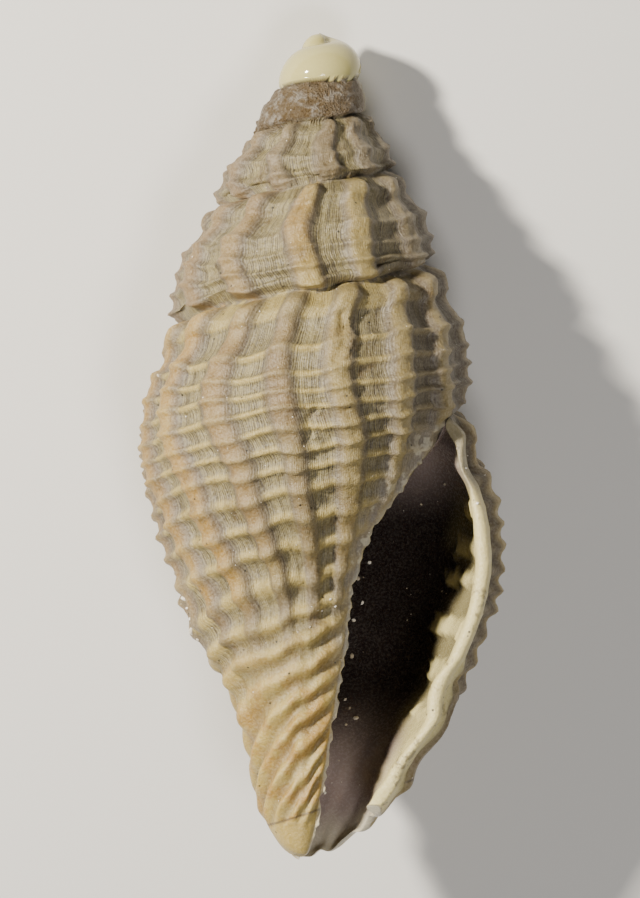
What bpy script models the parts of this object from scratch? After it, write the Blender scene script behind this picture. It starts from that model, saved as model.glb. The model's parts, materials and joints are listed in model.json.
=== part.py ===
"""Shell of the sea snail Mitromorpha fenestrata, lying on its back with the aperture up.

The shell is one closed solid. Its wall is drawn as a strip that coils from the apex to the outer
lip, turns in over the lip and runs back inside the last whorl. A place on the strip has a turn
(0 on the shell's right side, where the outer lip meets the whorl before it, and negative towards
the apex) and a row (0 on the suture above, 1 on the suture below, 2 at the canal's end). Depths
are measured along the coiling axis from the apex, and radii out from it, both in millimetres.
X points to the shell's right, Y to the apex and Z up, out of the aperture.
"""

import bmesh
import bpy
import numpy as np

MM = 0.001

# The coil: (turn, depth of the suture, radius of the suture)
SUTURE = (
    (-5.25, 0.0, 0.0),
    (-5.0, 0.05, 0.04),
    (-4.5, 0.11, 0.10),
    (-4.25, 0.19, 0.18),
    (-4.0, 0.27, 0.24),
    (-3.5, 0.35, 0.22),
    (-3.0, 0.47, 0.28),
    (-2.5, 0.63, 0.36),
    (-2.0, 0.82, 0.45),
    (-1.5, 1.06, 0.58),
    (-1.0, 1.39, 0.69),
    (-0.5, 1.79, 0.81),
    (0.0, 2.27, 0.86),
    (0.5, 2.93, 0.96),
    (1.1, 3.68, 1.11),
)
SHELL_LENGTH = 4.98
PROTOCONCH_END = -3.5

# A whorl between two sutures: (row, share of its bulge), and the bulge as a share of its height
WHORL_PROFILE = ((0, 0), (0.04, 0.34), (0.09, 0.6), (0.2, 0.56), (0.32, 0.9), (0.48, 1),
                 (0.65, 0.95), (0.78, 0.8), (0.89, 0.48), (1, 0))
WHORL_BULGE = ((-5.25, 0.36), (-4.9, 0.34), (-4.5, 0.22), (-4.0, 0.12), (-3.5, 0.16), (-3.0, 0.21),
               (-2.0, 0.2), (-1.0, 0.19), (-0.5, 0.145), (0.1, 0.145))

# The base below the whorl, every half turn: its radius as a share of that at the suture's level,
# at these shares of the way down to the end of the canal
BASE_PLACES = (0, 0.08, 0.16, 0.26, 0.38, 0.5, 0.62, 0.75, 0.88, 1)
BASE_OUTLINES = {
    -1.5: (1, 0.88, 0.66, 0.36, 0.23, 0.18, 0.14, 0.105, 0.07, 0.045),
    -1.0: (1, 0.88, 0.725, 0.48, 0.355, 0.325, 0.26, 0.19, 0.125, 0.07),
    -0.5: (1, 0.95, 0.88, 0.805, 0.66, 0.485, 0.385, 0.335, 0.26, 0.21),
    0.0: (1, 0.972, 0.94, 0.9, 0.84, 0.755, 0.665, 0.59, 0.52, 0.43),
}

# The open edge: the outer lip, and the margin that climbs from the canal's end to the lip's foot
LIP_TURN = 20.4 / 360
MARGIN_TURNS = 0.5
MARGIN_CLIMB = 0.285
WALL = 0.05
LIP_ROUND = 0.03

# Ribs: (turn, ribs counted up to it) and (turn, share of their full height). They fade over one
# band of rows and the cords grow stronger over another, each given as (first row, rows wide)
RIBS_COUNTED = ((-3.6, -10.3), (-2.88, -3), (-2.59, 0), (-1.92, 7), (-1.58, 11), (-0.93, 20),
                (0.13, 37))
RIB_GROWTH = ((-3.6, 0.5), (-2.5, 0.7), (-1.5, 0.9), (-0.5, 1), (0.1, 1))
RIB_HEIGHT = 0.07
RIB_FADE = (1.25, 0.25)
RIB_LEAN = 0.02
RIB_LEAN_BACK = 0.03
CORD_HEIGHT = 0.022
CORD_ON_RIB = 0.8
BARE_CORDS = (1.15, 0.35)
SUTURE_FADE = 0.06

# Facets: columns in a turn, and the rows of the whorl, crests and gaps of its cords in turn
COLUMNS = 64
WHORL_ROWS = (0, 0.035, 0.09, 0.19, 0.29, 0.37, 0.45, 0.54, 0.63, 0.72, 0.81, 0.9, 1)
BASE_ROWS = 20
SMOOTH_COLUMNS = 4
BASE_SLIDE = (1.5, 0.85)
SMOOTH_ROWS = 3
INNER_COLUMNS = 32

# How it lies: tilted nose down and rolled a little to its left, until its weight is over the widest
# whorl, where it stands on a flat that is worn through the ribs of its back
TILT = np.radians(-12)
ROLL = np.radians(-3)
FLAT_DEPTH = 0.12

CREAM = (0.62, 0.51, 0.36, 1)


def through(keys, place):
    """Height over each place of the smooth curve through (place, height) keys, which never
    swings past them."""
    at, height = np.array(keys, dtype=float).T
    gap = np.diff(at)
    slope = np.diff(height) / gap
    before, after = slope[:-1], slope[1:]
    bends = before * after <= 0
    middle = np.where(bends, 0, 2 * before * after / np.where(bends, 1, before + after))
    tangent = np.concatenate((slope[:1], middle, slope[-1:]))
    place = np.asarray(place, dtype=float)
    k = np.clip(np.searchsorted(at, place) - 1, 0, len(gap) - 1)
    f = np.clip((place - at[k]) / gap[k], 0, 1)
    rise = height[k] + (height[k + 1] - height[k]) * f * f * (3 - 2 * f)
    return rise + gap[k] * f * (1 - f) * (tangent[k] * (1 - f) - tangent[k + 1] * f)


def ease(share):
    """A soft step from 0 to 1 as the share goes from 0 to 1."""
    share = np.clip(share, 0, 1)
    return share * share * (3 - 2 * share)


def risen(row, band):
    """A soft step from 0 to 1 as the row crosses a band, given as its first row and its width."""
    return ease((row - band[0]) / band[1])


def suture(turn):
    """Depth and radius of the suture at a turn."""
    keys = np.array(SUTURE)
    return through(keys[:, :2], turn), through(keys[:, ::2], turn)


def margin_open(turn):
    """How far the canal's end has opened: 0 where it is closed on the axis, 1 at the lip."""
    return 1 - np.clip((LIP_TURN - turn) / MARGIN_TURNS, 0, 1) ** 1.5


def margin_depth(turn):
    """Depth of the canal's end, which climbs to the foot of the lip over its last quarter turn."""
    return SHELL_LENGTH - MARGIN_CLIMB * ease((turn + 0.23) / 0.28)


def base_radius(turn, share):
    """Radius of the base at a share of the way from the suture's level to the canal's end."""
    keyed = np.array(sorted(BASE_OUTLINES))
    total = 0
    for key in keyed:
        others = keyed[keyed != key]
        weight = np.prod([(turn - other) / (key - other) for other in others], axis=0)
        total = total + weight * np.log(through(list(zip(BASE_PLACES, BASE_OUTLINES[key])), share))
    closing = 1 - np.sqrt(1 - np.clip((share - 0.86) / 0.14, 0, 1) ** 2)
    return suture(turn + 1)[1] * np.exp(total) * (1 - closing * (1 - margin_open(turn)))


def smooth_wall(turn, row):
    """Depth and radius of the outside without ribs and cords."""
    top_depth, top_radius = suture(turn)
    low_depth, low_radius = suture(turn + 1)
    share = np.clip(row, 0, 1)
    height = low_depth - top_depth
    nucleus = turn < SUTURE[0][0]
    dome = low_depth * (1 - np.sqrt(1 - share ** 2))
    early = (4 * share * (1 - share)) ** 0.6
    grown = ease((turn - PROTOCONCH_END) / 0.1 + 0.5)
    bulge = early + (through(WHORL_PROFILE, share) - early) * grown
    bulge = bulge * through(WHORL_BULGE, turn) * ~nucleus
    depth = np.where(nucleus, dome, top_depth + height * share)
    depth = depth - (low_radius - top_radius) * bulge * (1 - grown)
    radius = top_radius + (low_radius - top_radius) * share + height * bulge
    below = np.clip(row - 1, 0, 1)
    base_depth = low_depth + (margin_depth(turn) - low_depth) * below
    on_base = row > 1
    return np.where(on_base, base_depth, depth), np.where(on_base, base_radius(turn, below), radius)


def relief(turn, row, crest):
    """Height of the ribs and cords over the smooth wall. Crest is 1 on a cord and 0 between."""
    lean = RIB_LEAN * np.sin(np.pi * np.clip(row, 0, 1)) - RIB_LEAN_BACK * ease((row - 1) / 0.4)
    wave = 0.5 + 0.5 * np.cos(2 * np.pi * through(RIBS_COUNTED, turn - lean))
    ribbed = (1 - risen(row, RIB_FADE)) * through(RIB_GROWTH, turn)
    ribs = wave ** 1.5 * ribbed
    bare = risen(row, BARE_CORDS)
    cords = crest * (0.6 + CORD_ON_RIB * ribs + 1.2 * bare) - 1 - 0.8 * bare
    height = RIB_HEIGHT * (ribs - ribbed) + CORD_HEIGHT * cords
    height = height * ease(row / SUTURE_FADE)
    height = height * ease((turn - PROTOCONCH_END) / 0.06)
    welded = ease((1 - row) / SUTURE_FADE)
    free = ease((turn - LIP_TURN + 1) / 0.05) * (1 - ease((row - 1.9) / 0.1))
    return height * np.maximum(welded, free)


def slid(turn, row):
    """The row that a row of the base becomes at a turn, as the cords slide down with the growth."""
    slide = np.interp(turn, (LIP_TURN - 1, LIP_TURN), BASE_SLIDE)
    return np.where(row > 1, 1 + np.clip(row - 1, 0, 1) ** slide, row)


def outside(turns, rows, crests):
    """Turn, depth and radius of a grid of corners on the sculptured outside."""
    turn, row = np.meshgrid(turns, rows, indexing="ij")
    young = turn < PROTOCONCH_END
    suture_below = (row == 1) & (turn + 1 >= PROTOCONCH_END)
    turn = np.where(young & ~suture_below, thinned(turns, SMOOTH_COLUMNS)[:, None], turn)
    row = slid(turn, np.where(young, thinned(rows, SMOOTH_ROWS), row))
    depth, radius = smooth_wall(turn, row)
    height = relief(turn, row, crests)
    down, out = np.gradient(depth, axis=1), np.gradient(radius, axis=1)
    length = np.maximum(np.hypot(down, out), 1e-9)
    return turn, depth - height * out / length, radius + height * down / length


def inside(turn, row):
    """Turn, depth and radius on the inner face of the last whorl's wall."""
    depth, radius = smooth_wall(turn, row)
    top = suture(turn)[0]
    corner = WALL * ease((LIP_TURN - turn) / 0.03)
    depth = depth + corner * np.clip(1 - row / 0.3, 0, 1)
    columella_there = base_radius(turn - 1, (depth - top) / (SHELL_LENGTH - top))
    wall = WALL + RIB_HEIGHT * (1 - risen(row, RIB_FADE))
    lining = radius - np.minimum(wall, 0.45 * np.maximum(radius - columella_there, 0))
    return turn, depth, columella_there + (lining - columella_there) * ease(row / 0.12)


def columella(turn, row):
    """Turn, depth and radius on the whorl before, which is the inner side of the aperture."""
    top = suture(turn + 1)[0]
    corner = WALL * ease((LIP_TURN - 1 - turn) / 0.03) / (SHELL_LENGTH - top)
    share = corner + (1 - corner) * (row - 1)
    return turn, top + (SHELL_LENGTH - top) * share, base_radius(turn, share)


def thinned(places, step):
    """Each place moved back to the last of every step-th one, which leaves larger facets."""
    return places[np.arange(len(places)) // step * step]


def placed(turn, depth, radius):
    """Points around the coiling axis, turned as the shell lies, with the apex at the origin."""
    angle = 2 * np.pi * turn
    x, y, z = radius * np.cos(angle), -depth, radius * np.sin(angle)
    x, z = x * np.cos(ROLL) + z * np.sin(ROLL), z * np.cos(ROLL) - x * np.sin(ROLL)
    y, z = y * np.cos(TILT) - z * np.sin(TILT), y * np.sin(TILT) + z * np.cos(TILT)
    return np.stack((x, y, z), axis=-1)


def add_patch(bm, points):
    """Adds a grid of faces whose corners are the points, given column by column."""
    columns, rows = points.shape[0] - 1, points.shape[1] - 1
    made = bmesh.ops.create_grid(bm, x_segments=columns, y_segments=rows, size=1)["verts"]
    for vertex in made:
        column = round((vertex.co.x + 1) / 2 * columns)
        row = round((vertex.co.y + 1) / 2 * rows)
        vertex.co = points[column, row] * MM


def shell_surface():
    """The whole skin: spire, last turn, the wall's inner face, the columella and the lip."""
    bm = bmesh.new()
    count = COLUMNS * 6 + 20
    turns = LIP_TURN + (np.arange(count + 1) - count) / COLUMNS
    whorl_rows = np.array(WHORL_ROWS)
    rows = np.concatenate((whorl_rows, 1 + np.arange(1, BASE_ROWS + 1) / BASE_ROWS))
    crests = (np.arange(len(rows)) % 2 == 0) * 1.0
    spire_count = count - COLUMNS
    spire = outside(turns[:spire_count + 1], whorl_rows, crests[:len(whorl_rows)])
    add_patch(bm, placed(*spire))
    outer = placed(*outside(turns[spire_count:], rows, crests))
    add_patch(bm, outer)

    inner_turns = turns[count - INNER_COLUMNS:]
    turn, row = np.meshgrid(inner_turns, rows, indexing="ij")
    on_margin = row == 2
    on_edge = on_margin | (turn == inner_turns[-1])
    turn = np.where(on_margin, turn, thinned(inner_turns, SMOOTH_COLUMNS)[:, None])
    row = np.where(on_edge, row, thinned(rows, 2))
    inner = placed(*inside(turn, slid(turn, row)))
    add_patch(bm, inner)

    base_rows = rows[len(whorl_rows) - 1:]
    turn, row = np.meshgrid(inner_turns - 1, base_rows, indexing="ij")
    row = np.where(turn == inner_turns[-1] - 1, row, thinned(base_rows, 2))
    turn = np.broadcast_to(thinned(inner_turns - 1, SMOOTH_COLUMNS)[:, None], row.shape)
    add_patch(bm, placed(*columella(turn, slid(turn, row))))

    outer_edge = np.concatenate((outer[-1], outer[-2:-INNER_COLUMNS - 2:-1, -1]))
    inner_edge = np.concatenate((inner[-1], inner[-2::-1, -1]))
    onward = np.concatenate((outer[-1] - outer[-2], np.zeros((INNER_COLUMNS, 3))))
    size = np.linalg.norm(onward, axis=1, keepdims=True)
    crown = (outer_edge + inner_edge) / 2 + LIP_ROUND * onward / np.maximum(size, 1e-9)
    crown[[0, -1]] = outer_edge[[0, -1]]
    add_patch(bm, np.stack((outer_edge, crown, inner_edge), axis=1))
    return bm


def closed(bm):
    """Welds the patches, shuts the hidden end of the cavity and turns all faces outwards."""
    bmesh.ops.remove_doubles(bm, verts=bm.verts, dist=1e-5 * MM)
    bmesh.ops.dissolve_degenerate(bm, dist=1e-6 * MM, edges=bm.edges)
    deep_end = [edge for edge in bm.edges if edge.is_boundary]
    bmesh.ops.holes_fill(bm, edges=deep_end, sides=0)
    bmesh.ops.triangulate(bm, faces=bm.faces)
    bmesh.ops.recalc_face_normals(bm, faces=bm.faces)


def settled(bm):
    """Puts the shell on its worn flat, with the origin under the middle of its box."""
    corners = np.array([vertex.co for vertex in bm.verts])
    low, high = corners.min(axis=0), corners.max(axis=0)
    floor = low[2] + FLAT_DEPTH * MM
    middle = (low + high) / 2
    for vertex in bm.verts:
        x, y, z = vertex.co
        vertex.co = x - middle[0], y - middle[1], max(z - floor, 0)


for old in list(bpy.data.objects):
    bpy.data.objects.remove(old)

bm = shell_surface()
closed(bm)
settled(bm)
mesh = bpy.data.meshes.new("shell")
bm.to_mesh(mesh)
bm.free()
mesh.shade_smooth()

lime = bpy.data.materials.new("shell_lime")
lime.use_nodes = True
surface = lime.node_tree.nodes["Principled BSDF"]
surface.inputs["Base Color"].default_value = CREAM
surface.inputs["Roughness"].default_value = 0.5
surface.inputs["Metallic"].default_value = 0.0
mesh.materials.append(lime)

shell = bpy.data.objects.new("shell", mesh)
collection = bpy.data.collections.new("mitromorpha_shell")
bpy.context.scene.collection.children.link(collection)
collection.objects.link(shell)
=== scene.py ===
import json

import bmesh
import bpy
import numpy as np
from mathutils import Matrix, Vector
from mathutils.bvhtree import BVHTree

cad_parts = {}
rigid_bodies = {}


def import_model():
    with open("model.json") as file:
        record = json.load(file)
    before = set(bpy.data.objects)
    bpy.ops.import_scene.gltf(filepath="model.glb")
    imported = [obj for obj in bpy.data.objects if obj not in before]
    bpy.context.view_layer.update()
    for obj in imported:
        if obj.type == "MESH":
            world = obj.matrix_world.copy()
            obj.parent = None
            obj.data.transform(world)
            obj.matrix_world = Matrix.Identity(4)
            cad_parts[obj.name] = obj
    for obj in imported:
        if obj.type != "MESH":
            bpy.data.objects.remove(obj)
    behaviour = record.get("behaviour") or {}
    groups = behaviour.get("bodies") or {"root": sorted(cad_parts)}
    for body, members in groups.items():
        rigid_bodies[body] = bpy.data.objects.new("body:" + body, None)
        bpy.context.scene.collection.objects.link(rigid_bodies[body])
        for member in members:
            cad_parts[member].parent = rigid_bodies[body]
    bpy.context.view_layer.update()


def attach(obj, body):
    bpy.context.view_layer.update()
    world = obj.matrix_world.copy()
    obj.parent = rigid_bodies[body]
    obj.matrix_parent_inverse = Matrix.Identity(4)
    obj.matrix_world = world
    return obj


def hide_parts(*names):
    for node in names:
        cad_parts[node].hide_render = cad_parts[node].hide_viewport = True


for old in list(bpy.data.objects):
    bpy.data.objects.remove(old)
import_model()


# The coil. The snail built its shell as a tube of lime round one axis, adding to its open end. A
# place on the wall has a turn (0 on the right at the outer lip, negative towards the apex) and a row
# (0 on the suture above, 1 on the one below, 2 at the canal's end). Depths are mm from the apex.
MM = 0.001
SUTURE = (
    (-5.25, 0.0, 0.0),
    (-5.0, 0.05, 0.04),
    (-4.5, 0.11, 0.10),
    (-4.25, 0.19, 0.18),
    (-4.0, 0.27, 0.24),
    (-3.5, 0.35, 0.22),
    (-3.0, 0.47, 0.28),
    (-2.5, 0.63, 0.36),
    (-2.0, 0.82, 0.45),
    (-1.5, 1.06, 0.58),
    (-1.0, 1.39, 0.69),
    (-0.5, 1.79, 0.81),
    (0.0, 2.27, 0.86),
    (0.5, 2.93, 0.96),
    (1.1, 3.68, 1.11),
)
SUTURE_WANDER = 0.008
SHELL_LENGTH = 4.98
PROTOCONCH_END = -3.5
BULB_END = -3.97
WHORL_PROFILE = ((0, 0), (0.03, 0.3), (0.07, 0.56), (0.13, 0.6), (0.2, 0.58), (0.32, 0.88), (0.48, 1),
                 (0.65, 0.95), (0.8, 0.8), (0.92, 0.56), (0.975, 0.36), (1, 0))
BODY_PROFILE = ((0, 0), (0.03, 0.3), (0.07, 0.56), (0.13, 0.6), (0.2, 0.58), (0.32, 0.88), (0.48, 1),
                (0.65, 0.92), (0.8, 0.64), (0.9, 0.36), (1, 0))
ROW_STEP = 0.07
GROWN_WITHIN = 0.1
BODY_WITHIN = 0.05
WHORL_BULGE = ((-5.25, 0.36), (-4.9, 0.34), (-4.5, 0.22), (-4.0, 0.12), (-3.5, 0.16), (-3.0, 0.21),
               (-2.0, 0.2), (-1.0, 0.19), (-0.5, 0.145), (0.1, 0.145))
BASE_PLACES = (0, 0.08, 0.16, 0.26, 0.38, 0.5, 0.62, 0.75, 0.88, 1)
BASE_OUTLINES = {
    -1.5: (1, 0.88, 0.66, 0.36, 0.23, 0.18, 0.14, 0.105, 0.07, 0.045),
    -1.0: (1, 0.88, 0.725, 0.48, 0.355, 0.325, 0.26, 0.19, 0.125, 0.07),
    -0.5: (1, 0.95, 0.88, 0.805, 0.66, 0.485, 0.385, 0.335, 0.26, 0.21),
    0.0: (1, 0.972, 0.94, 0.9, 0.84, 0.755, 0.665, 0.59, 0.52, 0.43),
}
BASE_CLOSING = 0.86
LIP_TURN = 20.4 / 360
MARGIN_TURNS = 0.5
MARGIN_CURVE = 1.5
MARGIN_CLIMB = 0.285
MARGIN_CLIMBING = (-0.23, 0.28)
SCALLOP_PITCH = 0.083
SCALLOP_HEIGHT = 0.018
SCALLOP_UNEVEN = 0.012
TILT = np.radians(-12)
ROLL = np.radians(-3)
APEX = np.array((-0.0559, 2.4559, 0.4185))


def through(keys, place):
    """Height over each place of the smooth curve through (place, height) keys."""
    at, height = np.array(keys, dtype=float).T
    gap = np.diff(at)
    slope = np.diff(height) / gap
    before, after = slope[:-1], slope[1:]
    bends = before * after <= 0
    middle = np.where(bends, 0, 2 * before * after / np.where(bends, 1, before + after))
    tangent = np.concatenate((slope[:1], middle, slope[-1:]))
    place = np.asarray(place, dtype=float)
    k = np.clip(np.searchsorted(at, place) - 1, 0, len(gap) - 1)
    f = np.clip((place - at[k]) / gap[k], 0, 1)
    level = height[k] + (height[k + 1] - height[k]) * f * f * (3 - 2 * f)
    return level + gap[k] * f * (1 - f) * (tangent[k] * (1 - f) - tangent[k + 1] * f)


def ease(share):
    """A soft step from 0 to 1 as the share goes from 0 to 1."""
    share = np.clip(share, 0, 1)
    return share * share * (3 - 2 * share)


def rise(value, start, width):
    """A soft step from 0 to 1 as a value passes its start and goes on over the width."""
    return ease((value - start) / width)


def hump(distance, width):
    """1 at no distance, falling away softly over the width."""
    return np.exp(-(distance / width) ** 2)


def uneven(seed, *places):
    """A smooth unevenness between about -1 and 1 that changes over about one unit of each place."""
    chance = np.random.default_rng(seed)
    total = 0
    for _ in range(7):
        pull = chance.uniform(-1, 1, len(places))
        wave = sum(part * place for part, place in zip(pull, places))
        total = total + np.sin(2 * np.pi * wave + chance.uniform(0, 2 * np.pi))
    return total / 2.6


def suture(turn):
    """Depth and radius of the suture at a turn."""
    keys = np.array(SUTURE)
    grown = rise(turn, PROTOCONCH_END, 0.5)
    wander = SUTURE_WANDER * uneven(3, turn * 16) * grown
    return through(keys[:, :2], turn) + wander, through(keys[:, ::2], turn)


def margin_open(turn):
    """How far the canal's end has opened: 0 where it is closed on the axis, 1 at the lip."""
    return 1 - np.clip((LIP_TURN - turn) / MARGIN_TURNS, 0, 1) ** MARGIN_CURVE


def margin_depth(turn):
    """Depth of the canal's scalloped end, which climbs to the foot of the lip."""
    open_part = rise(turn, LIP_TURN - MARGIN_TURNS, 0.2)
    scallops = SCALLOP_HEIGHT * np.sin(2 * np.pi * turn / SCALLOP_PITCH)
    scallops = scallops + SCALLOP_UNEVEN * uneven(5, turn * 22)
    return SHELL_LENGTH - MARGIN_CLIMB * rise(turn, *MARGIN_CLIMBING) + scallops * open_part


def base_radius(turn, share):
    """Radius of the base at a share of the way from the suture's level to the canal's end."""
    keyed = np.array(sorted(BASE_OUTLINES))
    total = 0
    for key in keyed:
        others = keyed[keyed != key]
        weight = np.prod([(turn - other) / (key - other) for other in others], axis=0)
        total = total + weight * np.log(through(list(zip(BASE_PLACES, BASE_OUTLINES[key])), share))
    closing = 1 - np.sqrt(1 - np.clip((share - BASE_CLOSING) / (1 - BASE_CLOSING), 0, 1) ** 2)
    return suture(turn + 1)[1] * np.exp(total) * (1 - closing * (1 - margin_open(turn)))


def smooth_wall(turn, row):
    """Depth and radius of the outside without ribs and cords."""
    top_depth, top_radius = suture(turn)
    low_depth, low_radius = suture(turn + 1)
    share = np.clip(row, 0, 1)
    height = low_depth - top_depth
    nucleus = turn < SUTURE[0][0]
    dome = low_depth * (1 - np.sqrt(1 - share ** 2))
    early = (4 * share * (1 - share)) ** 0.6
    grown = rise(turn, PROTOCONCH_END - GROWN_WITHIN / 2, GROWN_WITHIN)
    later = through(WHORL_PROFILE, share)
    later = later + (through(BODY_PROFILE, share) - later) * rise(turn, LIP_TURN - 1, BODY_WITHIN)
    bulge = early + (later - early) * grown
    bulge = bulge * through(WHORL_BULGE, turn) * ~nucleus
    depth = np.where(nucleus, dome, top_depth + height * share)
    depth = depth - (low_radius - top_radius) * bulge * (1 - grown)
    radius = top_radius + (low_radius - top_radius) * share + height * bulge
    below = np.clip(row - 1, 0, 1)
    depth = depth + height * (row - share)
    base_depth = low_depth + (margin_depth(turn) - low_depth) * below
    on_base = row > 1
    return np.where(on_base, base_depth, depth), np.where(on_base, base_radius(turn, below), radius)


def placed(turn, depth, radius):
    """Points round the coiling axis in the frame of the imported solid, in millimetres."""
    angle = 2 * np.pi * turn
    x, y, z = radius * np.cos(angle), -depth, radius * np.sin(angle)
    x, z = x * np.cos(ROLL) + z * np.sin(ROLL), z * np.cos(ROLL) - x * np.sin(ROLL)
    y, z = y * np.cos(TILT) - z * np.sin(TILT), y * np.sin(TILT) + z * np.cos(TILT)
    points = np.stack((x, y, z), axis=-1) + APEX
    points[..., 2] = np.maximum(points[..., 2], 0)
    return points


# The sculpture. Broad ribs stand where the lip once paused and spiral cords run over them, a lattice
# of lime laid down by the mantle's edge. Towards the canal the ribs die out and the cords become
# slanting folds. A healed scar and a swollen pause mark cross the last whorl.
RIBS_COUNTED = ((-3.6, -10.3), (-2.88, -3), (-2.59, 0), (-1.92, 7), (-1.58, 11), (-0.93, 20),
                (0.13, 37))
RIB_GROWTH = ((-3.6, 0.5), (-2.5, 0.7), (-1.5, 0.9), (-0.5, 1), (0.1, 1))
RIB_HEIGHT = 0.07
RIB_FLANKS = (0.28, 0.66)
RIB_WANDER = 0.06
RIB_FADE = (1.25, 0.25)
RIB_LEAN = 0.02
RIB_LEAN_BACK = 0.03
CORD_PITCH = ((-3.5, 0.095), (-3, 0.103), (-2, 0.127), (-1, 0.142), (-0.5, 0.151), (0.1, 0.163))
RIM_DEEP = ((-3.5, 0.06), (-3, 0.075), (-2, 0.1), (-1.5, 0.125), (-0.75, 0.16), (0.1, 0.165))
CORDS_COUNTED = ((0, 0), (1.2, 1), (2.2, 2), (3.9, 4), (6.35, 7), (7.25, 8), (12, 12), (30, 28.7))
CORD_WIDTH = ((0, 0.022), (1, 0.026), (1.3, 0.036), (1.6, 0.046), (2, 0.046))
CORD_HEIGHT = ((0, 0.029), (1, 0.033), (1.3, 0.04), (1.6, 0.05), (1.88, 0.046), (1.94, 0))
CORD_WANDER = 0.1
CORD_LOST_ON_RIB = 0.3
CANAL_ROWS = (1.3, 0.4)
CANAL_LOWER = 0.018
CANAL_TWIST = 4.5
TWIST_ROWS = (1.35, 0.5)
TWIST_ROUND = -0.75
RIM_HEIGHT = 0.018
RIM_SOFT = 0.022
NODE_HEIGHT = 0.006
DORSAL_BAND = (LIP_TURN - 0.085, 0.04)
DORSAL_WIDER = 0.8
DORSAL_HIGHER = 0.012
SCAR = ((1.5, -0.785), (1.84, -0.789), (2.2, -0.764), (2.64, -0.747), (3.3, -0.73))
SCAR_TURN = -0.76
SCAR_ROWS = ((0.1, 0.1), (0.9, 0.25))
SCAR_HEIGHT = 0.02
STOP_TURN = -0.535
STOP_ROW = 1.3
STOP_LEAN = 0.05
STOP_ROWS = ((1.12, 0.12), (1.55, 0.15))
STOP_HEIGHT = 0.045
STOP_GROOVE = 0.025
COARSE_UNEVEN = 0.004
FINE_UNEVEN = 0.003
SUTURE_FADE = 0.045
SUTURE_GROOVE = 0.075


def growth_lean(row):
    """How far in turns the growth lines and ribs run ahead of their place on the suture."""
    return RIB_LEAN * np.sin(np.pi * np.clip(row, 0, 1)) - RIB_LEAN_BACK * rise(row, 1, 0.4)


def between(value, start, end):
    """1 where a value is between a soft start and a soft end, and 0 elsewhere."""
    return rise(value, *start) * (1 - rise(value, *end))


def rib_wave(turn, row):
    """0 between ribs and 1 on the crest of one, and how strong the ribs are there."""
    count = through(RIBS_COUNTED, turn - growth_lean(row))
    count = count + RIB_WANDER * uneven(11, turn * 9, row * 2.5)
    wave = 0.5 + 0.5 * np.cos(2 * np.pi * count)
    strength = 0.9 + 0.13 * uneven(12, np.round(count) * 0.37)
    fade = (1 - rise(row, *RIB_FADE)) * through(RIB_GROWTH, turn)
    return rise(wave, *RIB_FLANKS) * strength * fade, fade


def dorsal(turn):
    """1 on the crenulated band behind the outer lip, and 0 elsewhere."""
    return rise(turn, *DORSAL_BAND)


def cord_wave(turn, row, depth):
    """0 between cords and 1 on the crest of one, and the share of the subsutural rim."""
    below = depth - suture(turn)[0]
    rim = through(RIM_DEEP, turn)
    pitch = through(CORD_PITCH, turn)
    twist = CANAL_TWIST * rise(row, *TWIST_ROWS) * (turn - TWIST_ROUND)
    counted = through(CORDS_COUNTED, (below - rim) / pitch - twist)
    counted = counted + CORD_WANDER * uneven(14, turn * 6, counted * 0.6)
    off = (counted - np.round(counted)) * pitch * 1.05
    width = through(CORD_WIDTH, row) * (1 + DORSAL_WIDER * dorsal(turn))
    cord = hump(off, width) * (np.round(counted) > 0)
    on_rim = 1 - rise(below, rim - RIM_SOFT / 2, RIM_SOFT)
    return cord, on_rim


def relief(turn, row, depth, radius):
    """Height of the sculpture over the smooth wall, and how much of it is rib, cord and canal."""
    ribs, fade = rib_wave(turn, row)
    cord, on_rim = cord_wave(turn, row, depth)
    cord_height = through(CORD_HEIGHT, row) * (1 + 0.2 * uneven(15, turn * 12, row * 5))
    cord_height = cord_height + DORSAL_HIGHER * dorsal(turn)
    height = RIB_HEIGHT * (ribs - fade) - 0.5 * CORD_HEIGHT[1][1]
    height = height + cord_height * cord * (1 - CORD_LOST_ON_RIB * ribs)
    height = height + NODE_HEIGHT * cord * ribs * (1 - on_rim)
    height = height + RIM_HEIGHT * on_rim * (1 + 0.2 * ribs)
    arc = 2 * np.pi * radius * (turn - through(SCAR, depth)) + 0.008 * uneven(13, depth * 9)
    scar = between(row, *SCAR_ROWS) * (np.abs(turn - SCAR_TURN) < 0.1)
    lines = hump(arc, 0.011) + 0.6 * hump(arc + 0.033, 0.009) - 1.1 * hump(arc + 0.016, 0.009)
    furrow = hump(arc - 0.03, 0.022) * (1 + 0.5 * uneven(20, depth * 4))
    height = height + scar * SCAR_HEIGHT * (lines - furrow)
    arc = 2 * np.pi * radius * (turn - STOP_TURN - STOP_LEAN * (row - STOP_ROW))
    stop = between(row, *STOP_ROWS) * (np.abs(turn - STOP_TURN) < 0.2)
    height = height + stop * (STOP_HEIGHT * hump(arc, 0.045) - STOP_GROOVE * hump(arc + 0.07, 0.018))
    canal = rise(row, *CANAL_ROWS)
    rough = COARSE_UNEVEN * uneven(16, turn * 30, depth * 5)
    rough = rough + FINE_UNEVEN * uneven(17, turn * 90, depth * 14)
    height = height + rough * (1 - 0.9 * canal) - CANAL_LOWER * canal
    height = height * rise(turn, PROTOCONCH_END, 0.06)
    return height, ribs, cord * (1 - on_rim) + 0.6 * on_rim, canal


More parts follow.
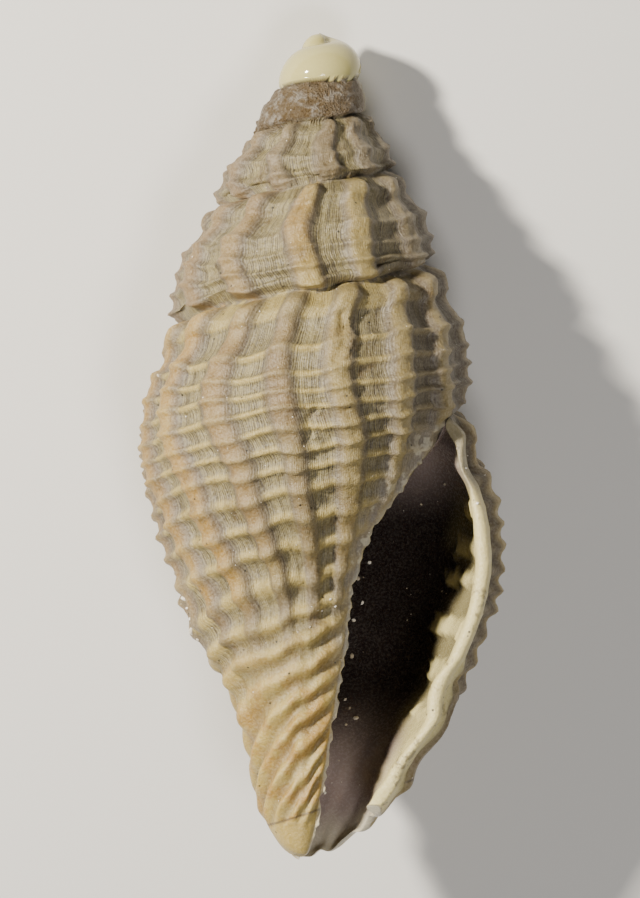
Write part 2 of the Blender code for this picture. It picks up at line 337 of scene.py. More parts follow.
# The lip and the aperture. The outer lip ends in a smooth rounded roll of cream lime with a furrow
# outside it. Round teeth stand on the thickened wall within it. The inner side of the aperture is
# the whorl before, glazed over, and its glaze ends to the left in a thin ragged edge.
WALL = 0.05
MARGIN_THINNER = 0.35
ROLL_BAND = (0.035, 0.065)
ROLL_DROP = 0.035
ROLL_THICK = (0.075, 0.13)
ROLL_CREAM = (0.26, 0.12)
FURROW = (0.085, 0.022, 0.014)
LIP_ROUND = 0.045
MARGIN_ROUND = 0.006
INNER_SWELL = 0.022
TEETH_DEPTHS = (2.852, 3.096, 3.277, 3.575, 3.83, 4.087)
TEETH_INNER_TURNS = (-0.066, -0.088, -0.098, -0.094, -0.088, -0.085)
TEETH_HEIGHT = 0.03
TEETH_WIDTH = 0.058
GLAZE_EDGE = ((1.0, -0.944), (1.05, -0.928), (1.12, -0.905), (1.2, -0.885), (1.35, -0.88),
              (1.6, -0.885), (1.8, -0.885), (2.0, -0.88))
GLAZE_SINK = 0.09
GLAZED_BEFORE = -0.8
GLAZE_THINS_WITHIN = 0.075
EDGE_RAISED = 0.016
EDGE_WIDTH = 0.009
EDGE_HOLLOW = 0.015
CRUST_HEIGHT = 0.006
CANAL_VIOLET = (3.9, 0.7)
TOP_VIOLET = (2.45, 0.5)


def glaze_edge(row):
    """Turn at which the glaze on the inner side of the aperture ends."""
    return through(GLAZE_EDGE, row) + 0.003 * uneven(21, row * 14) + 0.0008 * uneven(22, row * 60)


def creamy(row):
    """How cream the lip is. Its upper end is grey and glassy."""
    return 0.25 + 0.75 * rise(row, *ROLL_CREAM)


def sunk(turn, row, radius):
    """How far the glazed inner side of the aperture lies below the whorl's outline."""
    past = glaze_edge(row) - turn
    deep = np.minimum(GLAZE_SINK, 0.45 * radius) * between(row, (1.02, 0.12), (1.85, 0.1))
    return deep * rise(past, 0.002, 0.03)


def groove(turn):
    """How far the suture is sunk below the crests of the ribs at a turn."""
    depth = SUTURE_GROOVE * rise(turn, PROTOCONCH_END - 0.1, 0.3) * through(RIB_GROWTH, turn)
    return depth * (1 - rise(turn, LIP_TURN - 0.1, 0.08))


def outside(turn, row):
    """Turn, depth and radius on the sculptured outside, and the masks of its finish."""
    depth, radius = smooth_wall(turn, row)
    height, ribs, cord, canal = relief(turn, row, depth, radius)
    arc = 2 * np.pi * np.maximum(radius, 0.05)
    to_lip = (LIP_TURN - turn) * arc
    near = (1 - rise(to_lip, *ROLL_BAND)) * (turn > LIP_TURN - 0.2)
    height = height * (1 - near) - ROLL_DROP * near * ease(row / 0.15)
    furrow_at, furrow_deep, furrow_wide = FURROW
    height = height - furrow_deep * hump(to_lip - furrow_at, furrow_wide) * ease(row / 0.15)
    worn = between(turn, (BULB_END, 0.04), (PROTOCONCH_END, 0.3))
    pits = uneven(18, turn * 60, depth * 22) + 0.6 * uneven(19, turn * 160, depth * 60)
    height = height + CRUST_HEIGHT * worn * pits * ease(row / 0.06)
    welded = ease((1 - row) / SUTURE_FADE)
    bare = rise(turn, glaze_edge(row) - 0.01, 0.012)
    free = bare * (1 - rise(row, 1.8, 0.2))
    glazed = (1 - rise(turn, glaze_edge(row) + 0.002, GLAZE_THINS_WITHIN)) * (row > 1)
    glazed = glazed * (1 - rise(row, 1.5, 0.25))
    low_side = np.maximum(welded, free * (1 - 0.45 * glazed))
    top_side = ease(row / SUTURE_FADE)
    height = height * top_side * low_side
    sunken = groove(turn) * (1 - top_side) + groove(turn + 1) * (1 - welded) * (row <= 1)
    radius = radius - sunken * ~((row > 1 - SUTURE_FADE) & (turn > LIP_TURN - 1))
    past = (turn - glaze_edge(row)) * arc
    on_front = turn < GLAZED_BEFORE
    beside = (1 - rise(past, 0.01, 0.06)) * on_front * between(row, (1.02, 0.1), (1.9, 0.05))
    height = height * (1 - beside) - EDGE_HOLLOW * beside
    ragged = 1 + 0.8 * uneven(23, row * 40) + 0.3 * uneven(24, row * 80)
    ridge = hump(past, EDGE_WIDTH) * ragged * on_front * between(row, (1.02, 0.06), (1.93, 0.05))
    height = height + EDGE_RAISED * ridge - sunk(turn, row, radius) * on_front
    inner = (1 - rise(past, -0.012, 0.012)) * on_front * (row > 1)
    last_row = np.where((turn > LIP_TURN - 1) | (row > 1), 2, 1)
    ahead = smooth_wall(turn, np.minimum(row + ROW_STEP, last_row))
    behind = smooth_wall(turn, row - ROW_STEP)
    down, out = ahead[0] - behind[0], ahead[1] - behind[1]
    length = np.maximum(np.hypot(down, out), 1e-9)
    masks = {
        "rib": ribs * (1 - near),
        "cord": np.clip(cord, 0, 1) * (1 - near) * bare,
        "canal": canal,
        "lip": near * creamy(row),
        "glaze": np.maximum(glazed * (1 - inner), near * (1 - creamy(row))),
        "inner": inner,
        "edge": hump(past, 0.012) * on_front * rise(row, 1.02, 0.06),
        "bulb": 1 - rise(turn, BULB_END - 0.04, 0.04),
        "worn": worn,
    }
    return turn, depth - height * out / length, radius + height * down / length, masks


def violet(depth):
    """1 where the inside is pale violet, partly painted light, towards the canal and at the top, and 0
    where it is dark.
    """
    return np.maximum(rise(depth, *CANAL_VIOLET), 1 - rise(depth, *TOP_VIOLET))


def teeth(turn, depth):
    """0 between the teeth inside the outer lip and 1 on one."""
    total = 0
    for tooth, ends in zip(TEETH_DEPTHS, TEETH_INNER_TURNS):
        off = depth - tooth - 0.25 * (turn + 0.05) + 0.012 * uneven(33, turn * 60, depth * 12)
        width = TEETH_WIDTH * (1 + 0.25 * np.sin(9 * tooth))
        across = 1 - rise(np.abs(off) / width, 0.6, 0.6)
        ragged = ends + 0.004 * uneven(34, depth * 18)
        total = total + across * rise(turn, ragged, 0.012)
    return np.clip(total, 0, 1)


def inside(turn, row):
    """Turn, depth and radius on the inner face of the last whorl's wall, and its masks."""
    depth, radius = smooth_wall(turn, row)
    top = suture(turn)[0]
    corner = WALL * ease((LIP_TURN - turn) / 0.03)
    depth = depth + corner * np.clip(1 - row / 0.3, 0, 1)
    columella_there = base_radius(turn - 1, (depth - top) / (SHELL_LENGTH - top))
    arc = 2 * np.pi * radius
    to_lip = (LIP_TURN - turn) * arc
    tooth = teeth(turn, depth) * (1 - rise(row, 1.7, 0.1)) * rise(to_lip, 0.12, 0.05)
    swell = INNER_SWELL * rise(to_lip, 0.02, 0.1) * (1 - rise(turn, -0.01, -0.09))
    wall = WALL + RIB_HEIGHT * (1 - rise(row, *RIB_FADE))
    at_lip = 1 - rise(to_lip, 0.02, 0.07)
    thin, thick = ROLL_THICK
    roll = thin + (thick - thin) * rise(row, 0.2, 0.4)
    wall = wall * (1 - at_lip) + roll * at_lip + swell + TEETH_HEIGHT * tooth
    wall = wall + COARSE_UNEVEN * uneven(31, turn * 25, depth * 4)
    wall = wall * (1 - MARGIN_THINNER * rise(row, 1.9, 0.1))
    lining = radius - np.minimum(wall, 0.45 * np.maximum(radius - columella_there, 0))
    radius = columella_there + (lining - columella_there) * ease(row / 0.12)
    band = rise(turn + 0.012 * uneven(32, depth * 3), -0.1, 0.06) * (0.4 + 0.5 * rise(depth, 3.8, 0.5))
    cream = np.maximum(band, rise(turn, -0.015, 0.03)) * rise(depth, 2.6, 0.35)
    masks = {
        "inner": 1 - at_lip,
        "cream": np.maximum(cream, tooth),
        "lip": at_lip * creamy(row),
        # Towards the canal's end the glaze mask paints the thin margin grey-white, partly its own pale
        # lime and partly painted light shining through it.
        "glaze": np.maximum(rise(row, 1.82, 0.16), at_lip * (1 - creamy(row))),
        "canal": violet(depth),
    }
    return turn, depth, radius, masks


def columella(turn, row):
    """Turn, depth and radius on the glazed whorl before, deep in the aperture, and its masks."""
    top = suture(turn + 1)[0]
    corner = WALL * ease((LIP_TURN - 1 - turn) / 0.03) / (SHELL_LENGTH - top)
    share = corner + (1 - corner) * (row - 1)
    depth, radius = top + (SHELL_LENGTH - top) * share, base_radius(turn, share)
    masks = {"inner": np.ones(np.shape(depth)), "canal": violet(depth)}
    return turn, depth, radius - sunk(turn, row, radius), masks


# The whole skin. Grids of faces are wrapped on the coil: the spire, the last whorl, the face of its
# wall inside, the glazed columella, and a rounded strip over the lip and the canal's edge. They are
# welded into one closed surface, finer towards the lip and plainer on the smooth young whorls.
COLUMNS = 220
LIP_COLUMNS = 20
LIP_FINER = 3
BODY_WHORL_ROWS = 64
BASE_ROWS = 116
LIP_SEGMENTS = 8
YOUNG_THINNING = 4
PLAIN_THINNING = 2
DEEP_BEHIND_LIP = 1.8
LIP_ROUNDS_IN = 14
WELD = 1e-5 * MM
GROWTH_FROM = -6
GROWTH_SPREAD = 0.62
MASKS = ("rib", "cord", "canal", "lip", "glaze", "inner", "edge", "bulb", "worn", "cream")


def thinned(places, step):
    """Each place moved back to the last of every step-th one, which leaves larger facets."""
    return places[np.arange(len(places)) // step * step]


def add_patch(bm, points, masks, turns, depths):
    """Adds a grid of faces with its corners on the points, its masks and its map of the growth."""
    columns, rows = points.shape[0] - 1, points.shape[1] - 1
    made = bmesh.ops.create_grid(bm, x_segments=columns, y_segments=rows, size=1)["verts"]
    layers = [(bm.verts.layers.float[name], masks[name]) for name in MASKS if name in masks]
    growth = bm.loops.layers.uv["growth"]
    for vertex in made:
        column = round((vertex.co.x + 1) / 2 * columns)
        row = round((vertex.co.y + 1) / 2 * rows)
        vertex.co = points[column, row] * MM
        for layer, mask in layers:
            vertex[layer] = mask[column, row]
        for loop in vertex.link_loops:
            loop[growth].uv = turns[column, row], depths[column, row]


def finished(bm, name):
    """Turns a bmesh into an object of the scene at the origin."""
    mesh = bpy.data.meshes.new(name)
    bm.to_mesh(mesh)
    bm.free()
    made = bpy.data.objects.new(name, mesh)
    bpy.context.scene.collection.objects.link(made)
    return made


def growth_map(turn, row, depth):
    """Millimetres of growth along the coil, leaning as the ribs do, for the fine growth lines."""
    return (turn - growth_lean(row) - GROWTH_FROM) ** 2 * GROWTH_SPREAD, depth


def add_wall(bm, place, turn, row):
    """Adds one patch of the wall from a function that places it."""
    turn, depth, radius, masks = place(turn, row)
    points = placed(turn, depth, radius)
    add_patch(bm, points, masks, *growth_map(turn, row, depth))
    return points


bm = bmesh.new()
bm.loops.layers.uv.new("growth")
for name in MASKS:
    bm.verts.layers.float.new(name)

count = int(np.ceil((LIP_TURN - SUTURE[0][0] + 1) * COLUMNS))
turns = LIP_TURN + (np.arange(count + 1) - count) / COLUMNS
whorl_rows = np.linspace(0, 1, BODY_WHORL_ROWS + 1)
rows = np.concatenate((whorl_rows, 1 + np.arange(1, BASE_ROWS + 1) / BASE_ROWS))

spire_turns = turns[:count - COLUMNS + 1]
turn, row = np.meshgrid(spire_turns, whorl_rows, indexing="ij")
young = turn < PROTOCONCH_END
early = turn < LIP_TURN - 2
on_suture = (row == 1) & (turn + 1 >= PROTOCONCH_END)
turn = np.where(young & ~on_suture, thinned(spire_turns, YOUNG_THINNING)[:, None], turn)
row = np.where(early, thinned(whorl_rows, PLAIN_THINNING), row)
row = np.where(young, thinned(whorl_rows, YOUNG_THINNING), row)
add_wall(bm, outside, turn, row)

fine = np.arange(1, LIP_COLUMNS * LIP_FINER + 1)
fine_turns = LIP_TURN + (fine / LIP_FINER - LIP_COLUMNS) / COLUMNS
last_turns = np.concatenate((turns[count - COLUMNS:count - LIP_COLUMNS + 1], fine_turns))
plain = COLUMNS - LIP_COLUMNS
whole = np.concatenate((np.arange(plain + 1), plain + fine // LIP_FINER))
turn, row = np.meshgrid(last_turns, rows, indexing="ij")
turn = np.where(row == 0, turns[count - COLUMNS + whole][:, None], turn)
outer = add_wall(bm, outside, turn, row)
outer_turn, outer_row = turn, row

inner_columns = COLUMNS // 2 + LIP_COLUMNS * (LIP_FINER - 1)
inner_turns = last_turns[-inner_columns - 1:]
deep = np.arange(len(inner_turns)) < len(inner_turns) - LIP_COLUMNS * LIP_FINER * DEEP_BEHIND_LIP
coarse_turns = np.where(deep, thinned(inner_turns, YOUNG_THINNING), inner_turns)
turn, row = np.meshgrid(inner_turns, rows, indexing="ij")
on_margin = row == 2
on_edge = on_margin | (turn == inner_turns[-1])
turn = np.where(on_margin, turn, coarse_turns[:, None])
row = np.where(on_edge, row, thinned(rows, PLAIN_THINNING))
inner = add_wall(bm, inside, turn, row)

base_rows = rows[BODY_WHORL_ROWS:]
turn, row = np.meshgrid(inner_turns - 1, base_rows, indexing="ij")
row = np.where(turn == inner_turns[-1] - 1, row, thinned(base_rows, PLAIN_THINNING))
turn = np.broadcast_to(coarse_turns[:, None] - 1, row.shape)
add_wall(bm, columella, turn, row)

margin_back = slice(-2, -inner_columns - 2, -1)
outer_edge = np.concatenate((outer[-1], outer[margin_back, -1]))
inner_edge = np.concatenate((inner[-1], inner[-2::-1, -1]))
edge_turn = np.concatenate((outer_turn[-1], outer_turn[margin_back, -1]))
edge_row = np.concatenate((outer_row[-1], outer_row[margin_back, -1]))
onward = np.concatenate((outer[-1] - outer[-2], outer[margin_back, -1] - outer[margin_back, -3]))
size = np.linalg.norm(onward, axis=1, keepdims=True)
step = np.arange(len(onward))
reach = np.where(step < len(rows), LIP_ROUND, MARGIN_ROUND) * ease(step / LIP_ROUNDS_IN)
reach = reach * (1 - 0.7 * hump(step - len(rows), 12))
onward = onward / np.maximum(size, 1e-9) * reach[:, None]
swing = np.linspace(0, np.pi, LIP_SEGMENTS + 1)[None, :, None]
middle, half = (outer_edge + inner_edge) / 2, (outer_edge - inner_edge) / 2
strip = middle[:, None] + half[:, None] * np.cos(swing) + onward[:, None] * np.sin(swing)
shape = strip.shape[:2]
lip_share = np.broadcast_to((edge_row < 2)[:, None] * 1.0, shape)
cream_share = np.broadcast_to(creamy(edge_row)[:, None], shape)
strip_masks = {
    "lip": lip_share * cream_share,
    "cream": 0.3 + 0.7 * lip_share,
    "inner": 1 - lip_share,
    "canal": 1 - lip_share,
    # On the canal's end the glaze mask paints the rounded edge grey-white, partly painted light
    # shining through the thin lime.
    "glaze": 1 - lip_share * cream_share,
}
add_patch(bm, strip, strip_masks, np.broadcast_to(edge_turn[:, None], shape),
          np.broadcast_to(edge_row[:, None], shape))

bmesh.ops.remove_doubles(bm, verts=bm.verts, dist=WELD)
bmesh.ops.dissolve_degenerate(bm, dist=WELD / 10, edges=bm.edges)
deep_end = [edge for edge in bm.edges if edge.is_boundary]
bmesh.ops.holes_fill(bm, edges=deep_end, sides=0)
bmesh.ops.recalc_face_normals(bm, faces=bm.faces)
for face in bm.faces:
    face.smooth = True
surface = BVHTree.FromBMesh(bm)
shell = finished(bm, "spindle_shell")


# The lime's finish. Fresh the shell was cream and tan; it is grey where it has weathered, brown where
# it is stained, glassy on the young whorls and dark purple inside. Violet painted shade darkens the
# rib flanks and the right side, and the pale violet and grey-white inside the aperture are partly
# painted light.
class Reading:
    """One socket of a finish. Sums and products of readings add Math nodes to it."""

    def __init__(self, finish, socket):
        self.finish, self.socket = finish, socket

    def math(self, operation, *others):
        inputs = dict(enumerate((self, *others)))
        return self.finish.add("ShaderNodeMath", {"operation": operation}, inputs)

    def __add__(self, other):
        return self.math("ADD", other)

    def __sub__(self, other):
        return self.math("SUBTRACT", other)

    def __mul__(self, other):
        return self.math("MULTIPLY", other)

    def __rsub__(self, other):
        return (self * -1) + other

    __radd__, __rmul__ = __add__, __mul__

    def step(self, low, high):
        """A soft step from 0 to 1 as the reading goes from low to high."""
        return self.finish.add("ShaderNodeMapRange", {"interpolation_type": "SMOOTHSTEP"},
                               {"Value": self, "From Min": low, "From Max": high})


class Finish:
    """A material being made up. add() puts in one node and gives back one of its outputs."""

    def __init__(self, name):
        self.material = bpy.data.materials.new(name)
        self.material.use_nodes = True
        self.tree = self.material.node_tree
        self.surface = self.tree.nodes["Principled BSDF"]

    def add(self, kind, settings, inputs, output=0):
        node = self.tree.nodes.new(kind)
        for name, value in settings.items():
            setattr(node, name, value)
        for place, value in inputs.items():
            if isinstance(value, Reading):
                self.tree.links.new(value.socket, node.inputs[place])
            else:
                node.inputs[place].default_value = value
        return Reading(self, node.outputs[output])

    def mask(self, name):
        """The mask that the modelling left on the surface."""
        return self.add("ShaderNodeAttribute", {"attribute_name": name}, {}, "Fac")

    def mix(self, first, second, share):
        """The first colour going over to the second as the share goes from 0 to 1."""
        return self.add("ShaderNodeMix", {"data_type": "RGBA"}, {0: share, 6: first, 7: second}, 2)

    def noise(self, place, scale, detail=2.0, roughness=0.5, stretch=None):
        """A cloudy reading over a place, finer along the axes that are stretched."""
        if stretch:
            place = self.add("ShaderNodeVectorMath", {"operation": "MULTIPLY"}, {0: place, 1: stretch})
        return self.add("ShaderNodeTexNoise", {}, {"Vector": place, "Scale": scale, "Detail": detail,
                                                   "Roughness": roughness})

    def set(self, **values):
        """Sets or links the sockets of the surface, with _ for the blanks in their names."""
        for name, value in values.items():
            place = self.surface.inputs[name.replace("_", " ")]
            if isinstance(value, Reading):
                self.tree.links.new(value.socket, place)
            else:
                place.default_value = value


STRIA_PITCH = 0.0155
STRIA_STRENGTH = 0.75
STRIA_DEPTH = 0.008
LINE_STRETCH = (75, 5, 1)
WANDER_STRETCH = (9, 3, 1)
BROAD_STRETCH = (14, 1.5, 1)
GRAIN_SCALE = 60.0
LUMP_SCALE = 22.0
PATCH_SCALE = 7.0
CLOUD_SCALE = 2.2
PIT_SCALE = 9.0
TIP_LINE_DEPTH = 4.702
TIP_LINE_SLANT = 0.336
GAP_GREY = (0.27, 0.225, 0.1, 1)
GAP_DARK = (0.055, 0.043, 0.023, 1)
CORD_CREAM = (0.47, 0.36, 0.11, 1)
RIB_TAN = (0.3, 0.175, 0.032, 1)
RIB_CREAM = (0.42, 0.315, 0.085, 1)
CANAL_TAN = (0.38, 0.22, 0.04, 1)
CANAL_CREAM = (0.46, 0.34, 0.09, 1)
# Painted shade: the dark violet laid on the rib flanks and on the right side, away from the light.
SHADE_VIOLET = (0.095, 0.078, 0.07, 1)
STAIN_BROWN = (0.095, 0.057, 0.017, 1)
BULB_CREAM = (0.5, 0.45, 0.19, 1)
GLAZE_GREY = (0.23, 0.2, 0.165, 1)
GLAZE_WHITE = (0.58, 0.54, 0.42, 1)
INNER_DARK = (0.012, 0.007, 0.009, 1)
# The inside's pale violet towards the canal and the top is partly its own colour and partly painted
# light.
INNER_VIOLET = (0.34, 0.27, 0.26, 1)
LIP_CREAM = (0.74, 0.64, 0.3, 1)
PIT_BLACK = (0.01, 0.008, 0.006, 1)
GRAIN_WHITE = (0.8, 0.74, 0.6, 1)

lime = Finish("weathered_lime")
rib, cord, canal, lip = (lime.mask(name) for name in ("rib", "cord", "canal", "lip"))
glaze, inner, edge = (lime.mask(name) for name in ("glaze", "inner", "edge"))
bulb, worn, cream = (lime.mask(name) for name in ("bulb", "worn", "cream"))
spot = lime.add("ShaderNodeTexCoord", {}, {}, "Object")
spot = lime.add("ShaderNodeVectorMath", {"operation": "SCALE"}, {0: spot, "Scale": 1 / MM})
growth = lime.add("ShaderNodeUVMap", {"uv_map": "growth"}, {})

along = lime.add("ShaderNodeSeparateXYZ", {}, {0: growth}, 0)
down_axis = lime.add("ShaderNodeSeparateXYZ", {}, {0: growth}, 1)
sideways = lime.add("ShaderNodeSeparateXYZ", {}, {0: spot}, 0)
left_side = (sideways * -1.0).step(-0.5, 0.9)
# Painted shade: the outside's right side, turned from the light, found by its place across the shell.
shaded_right = sideways.step(0.05, 0.75) * (1 - inner)
wander = lime.noise(growth, 1.0, 2.0, 0.6, WANDER_STRETCH)
regular = (along * (2 * np.pi / STRIA_PITCH) + wander * 22).math("SINE") * 0.14 + 0.5
lines = regular + lime.noise(growth, 1.0, 2.0, 0.6, LINE_STRETCH) - 0.5
lines_off_canal = lines * (1 - canal) + canal * 0.5
broad = lime.noise(growth, 1.0, 1.0, 0.5, BROAD_STRETCH)
grain = lime.noise(spot, GRAIN_SCALE, 3.0, 0.7)
lumps = lime.noise(spot, LUMP_SCALE, 3.0, 0.6)
clouds = lime.noise(spot, CLOUD_SCALE, 3.0, 0.55)
patches = lime.noise(spot, PATCH_SCALE, 3.0, 0.6)

gap = lime.mix(GAP_DARK, GAP_GREY, (lines * 1.1 + broad * 0.5 - 0.3).step(0.2, 0.72))
warm = (clouds * 1.5 + left_side * 0.8 - 0.6).step(0.1, 1.0)
rib_colour = lime.mix(RIB_CREAM, RIB_TAN, warm)
colour = lime.mix(gap, rib_colour, rib.step(0.2, 0.8) * 0.9)
on_cord = cord.step(0.1, 0.8) * (0.75 - rib * 0.5) * (0.6 + lines_off_canal * 0.7)
colour = lime.mix(colour, CORD_CREAM, on_cord)
# Painted shade: violet laid on the flanks of the ribs as the shadow beside each rib, except on the
# canal.
flank_shade = rib * (1 - rib) * 4
colour = lime.mix(colour, SHADE_VIOLET, flank_shade * 0.65 * (1 - canal))
colour = lime.mix(colour, STAIN_BROWN, canal * (1 - cord.step(0.0, 0.6)) * 0.4)
canal_colour = lime.mix(CANAL_CREAM, CANAL_TAN, patches.step(0.4, 0.6))
colour = lime.mix(colour, canal_colour, canal * (0.45 + cord.step(0.1, 0.7) * 0.45))
past_line = down_axis + sideways * TIP_LINE_SLANT - TIP_LINE_DEPTH
colour = lime.mix(colour, CANAL_CREAM, past_line.step(-0.01, 0.03) * 0.9)
colour = lime.mix(colour, STAIN_BROWN, (1 - past_line.math("ABSOLUTE").step(0.003, 0.012)) * 0.75)
# Painted shade: violet darkens the right side, less on the ribs.
colour = lime.mix(colour, SHADE_VIOLET, shaded_right * (0.72 - rib * 0.5))
stain = patches.step(0.52, 0.66) * clouds.step(0.45, 0.6)
colour = lime.mix(colour, STAIN_BROWN, stain * 0.5 * (1 - canal * 0.6))
crust = lime.mix(STAIN_BROWN, GLAZE_GREY, lumps.step(0.45, 0.6) * (1 - patches.step(0.42, 0.55) * 0.8))
colour = lime.mix(colour, crust, worn)
colour = lime.mix(colour, GLAZE_GREY, glaze * 0.8)
colour = lime.mix(colour, GLAZE_WHITE, glaze * patches.step(0.56, 0.62) * 0.7)
colour = lime.mix(colour, GLAZE_WHITE, edge * 0.8)
colour = lime.mix(colour, LIP_CREAM, lip)
colour = lime.mix(colour, STAIN_BROWN, lip * patches.step(0.55, 0.62) * lumps.step(0.42, 0.55) * 0.6)
colour = lime.mix(colour, BULB_CREAM, bulb)
# The lining goes from dark purple to pale violet towards the canal and the top: partly its own colour,
# partly painted light.
lining = lime.mix(INNER_DARK, INNER_VIOLET, canal * 0.9)
lining = lime.mix(lining, LIP_CREAM, cream)
# Glaze paints the glassy upper end of the lip and the margin at the canal's end grey-white; at the
# margin it is partly painted light shining through the thin lime.
lining = lime.mix(lining, GLAZE_WHITE, glaze * 0.8)
colour = lime.mix(colour, lining, inner)
speckle = lime.mix(STAIN_BROWN, GRAIN_WHITE, grain.step(0.35, 0.7))
colour = lime.mix(colour, speckle, (0.12 - worn * 0.03 - bulb * 0.1) * (1 - inner * 0.6))
pits = lime.add("ShaderNodeTexVoronoi", {}, {"Vector": spot, "Scale": PIT_SCALE}, "Distance")
colour = lime.mix(colour, PIT_BLACK, (1 - pits.step(0.04, 0.085)) * (1 - inner) * (1 - bulb) * 0.9)

outer_share = (1 - inner) * (1 - bulb) * (1 - lip)
line_height = lines_off_canal * outer_share * (0.7 - rib * 0.4) * (1 - canal)
grain_height = (grain + lumps) * (1 - bulb) * (1 - inner * 0.7) * (1 + worn * 5)
texture = lime.add("ShaderNodeBump", {}, {"Strength": STRIA_STRENGTH, "Distance": STRIA_DEPTH * MM,
                                          "Height": line_height + grain_height})
polished = canal * outer_share * 0.06 + bulb * 0.36 + inner * 0.18 + lip * 0.15
lime.set(Base_Color=colour, Roughness=0.4 - polished + grain * 0.1, Metallic=0.0, Normal=texture,
         Specular_IOR_Level=0.5, Subsurface_Weight=0.08, Subsurface_Radius=(1.0, 0.85, 0.6),
         Subsurface_Scale=0.05 * MM)
shell.data.materials.append(lime.material)

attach(shell, "root")
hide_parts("shell")


# The grit. Sand grains and flakes of dried film cling to the shell where it was found. The larger
# ones lie where the photograph shows them, given across the axis and along it with their size, and
# the finest are strewn over it.
GRIT_PLACES = (
    (-1.05, 2.51, 0.024), (-0.83, 3.47, 0.036), (-0.77, 3.5, 0.02), (-0.71, 3.63, 0.04),
    (-0.67, 3.68, 0.028), (-0.74, 3.56, 0.022), (0.13, 3.43, 0.018), (0.16, 3.47, 0.014),
    (0.08, 3.5, 0.014), (0.01, 3.6, 0.014), (0.3, 3.28, 0.026), (0.33, 3.43, 0.022),
    (0.28, 3.54, 0.024), (0.2, 3.79, 0.018), (0.27, 3.76, 0.026), (0.23, 4.03, 0.022),
    (0.3, 4.14, 0.03), (0.26, 4.08, 0.018), (0.37, 3.18, 0.02), (-0.06, 3.63, 0.014),
    (0.68, 2.82, 0.014), (0.88, 2.51, 0.018), (0.93, 2.63, 0.014), (0.82, 2.7, 0.014),
    (1.0, 2.84, 0.018), (0.24, 4.18, 0.014), (-0.93, 2.1, 0.014),
    (0.12, 4.6, 0.016), (0.2, 4.4, 0.012),
)
GRIT_STREWN = 150
GRIT_SHARE = 0.75
GRIT_FINEST = (0.003, 0.008)
STREWN_ACROSS = (-1.05, 1.1)
STREWN_ALONG = (0.3, 4.9)
DROPPED_FROM = 3.0
SAND_PALE = (0.78, 0.74, 0.66, 1)
FILM_BROWN = (0.42, 0.36, 0.27, 1)

chance = np.random.default_rng(41)
strewn = zip(chance.uniform(*STREWN_ACROSS, GRIT_STREWN), chance.uniform(*STREWN_ALONG, GRIT_STREWN),
             chance.uniform(*GRIT_FINEST, GRIT_STREWN))
looking = Vector(placed(0.25, 0, 0) - placed(0.25, 0, 1)).normalized()
bm = bmesh.new()
for across, depth, size in (*GRIT_PLACES, *strewn):
    round_axis = np.arctan2(DROPPED_FROM, across) / (2 * np.pi)
    above = Vector(placed(round_axis, depth, np.hypot(across, DROPPED_FROM)))
    resting = surface.ray_cast(above * MM, looking)[0]
    if resting is None and size > GRIT_FINEST[1]:
        resting = surface.find_nearest((above + looking * DROPPED_FROM) * MM)[0]
    if resting is None:
        continue
    crystal = bmesh.ops.create_icosphere(bm, subdivisions=1, radius=1)["verts"]
    shape = Matrix.Diagonal(Vector(chance.uniform(0.45, 1.1, 3)))
    turned = Vector(chance.uniform(-1, 1, 3)).to_track_quat("Z", "Y").to_matrix()
    for vertex in crystal:
        corner = vertex.co * chance.uniform(0.8, 1.15)
        vertex.co = resting + turned @ shape @ corner * (GRIT_SHARE * size * MM)
for face in bm.faces:
    face.smooth = False
grit = finished(bm, "clinging_grit")
film = Finish("sand_and_film")
sort = film.noise(film.add("ShaderNodeTexCoord", {}, {}, "Object"), 4.0 / MM, 1.0)
film.set(Base_Color=film.mix(SAND_PALE, FILM_BROWN, sort.step(0.45, 0.6)), Roughness=0.35)
grit.data.materials.append(film.material)

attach(grit, "root")


# The floor, the lights and the camera. The shell lies on pale paper in soft light from the upper
# left. The camera looks along the photograph's line of sight at the side with the aperture, from
# two degrees towards the canal's end, so it is tilted and rolled with the shell.
FLOOR_HALF = 60 * MM
PAPER_PALE = (0.78, 0.77, 0.75, 1)
bm = bmesh.new()
bmesh.ops.create_grid(bm, x_segments=1, y_segments=1, size=FLOOR_HALF)
floor = finished(bm, "floor")
paper = Finish("pale_paper")
paper.set(Base_Color=PAPER_PALE, Roughness=0.9)
floor.data.materials.append(paper.material)

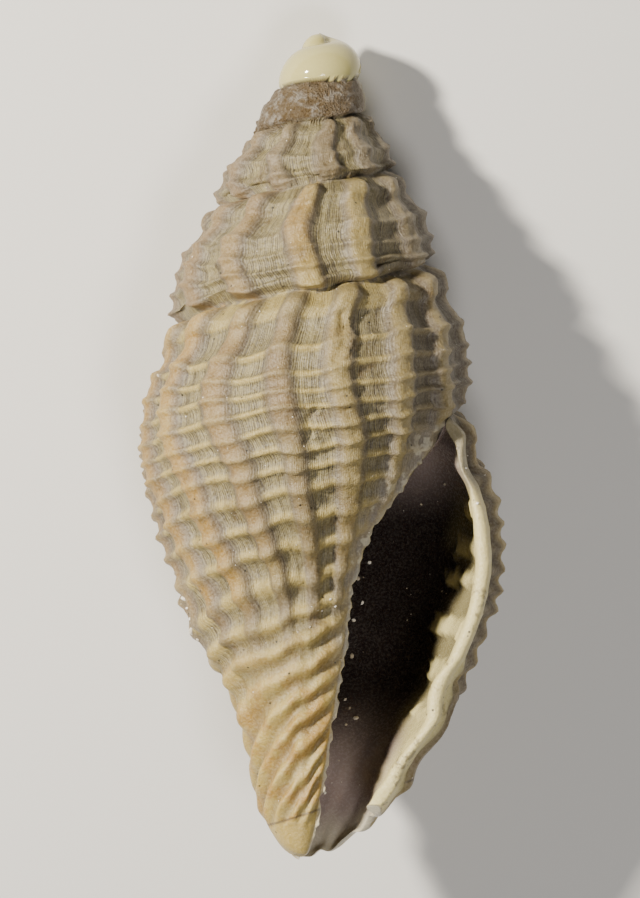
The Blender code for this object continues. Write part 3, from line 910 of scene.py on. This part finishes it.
PHOTO_HEIGHT = 5.433 * MM
PHOTO_CENTRE = (0.0519, -2.5167)
PHOTO_SLANT = 0.0175
FROM_BELOW = np.radians(2)
LENS = 300.0
SENSOR = 36.0
CLIP_NEAR = 0.001
CLIP_FAR = 1.0
SKY_BLUISH = (0.9, 0.92, 1.0, 1)
SKY_STRENGTH = 0.045

distance = LENS / SENSOR * PHOTO_HEIGHT
rolled = Matrix.Rotation(TILT, 4, "X") @ Matrix.Rotation(ROLL, 4, "Y")
lie = Matrix.Translation(Vector(APEX * MM)) @ rolled
right = Vector((1, PHOTO_SLANT, 0)).normalized()
towards = Vector((0, -np.sin(FROM_BELOW), np.cos(FROM_BELOW))).normalized()
up = towards.cross(right).normalized()
right = up.cross(towards)
centre = Vector((PHOTO_CENTRE[0] * MM, PHOTO_CENTRE[1] * MM, 0))
facing = Matrix((right, up, towards)).transposed().to_4x4()
stand = Matrix.Translation(centre + towards * distance) @ facing
camera_data = bpy.data.cameras.new("camera")
camera_data.lens = LENS
camera_data.sensor_width = SENSOR
camera_data.clip_start = CLIP_NEAR
camera_data.clip_end = CLIP_FAR
camera = bpy.data.objects.new("camera", camera_data)
camera.matrix_world = lie @ stand
bpy.context.scene.collection.objects.link(camera)
bpy.context.scene.camera = camera


def add_light(name, place, size, power, colour):
    """A square soft light at a place in millimetres that shines on the shell."""
    light = bpy.data.lights.new(name, "AREA")
    light.shape = "SQUARE"
    light.size = size * MM
    light.energy = power
    light.color = colour
    lamp = bpy.data.objects.new(name, light)
    lamp.location = Vector(place) * MM
    lamp.rotation_euler = Vector(place).to_track_quat("Z", "Y").to_euler()
    bpy.context.scene.collection.objects.link(lamp)


add_light("key", place=(-14.5, 8, 16), size=2, power=0.0125, colour=(1.0, 0.93, 0.8))
add_light("fill", place=(3, -5, 22), size=6, power=0.0024, colour=(1.0, 0.97, 0.93))
world = bpy.data.worlds.new("studio")
world.use_nodes = True
sky = world.node_tree.nodes["Background"]
sky.inputs["Color"].default_value = SKY_BLUISH
sky.inputs["Strength"].default_value = SKY_STRENGTH
bpy.context.scene.world = world
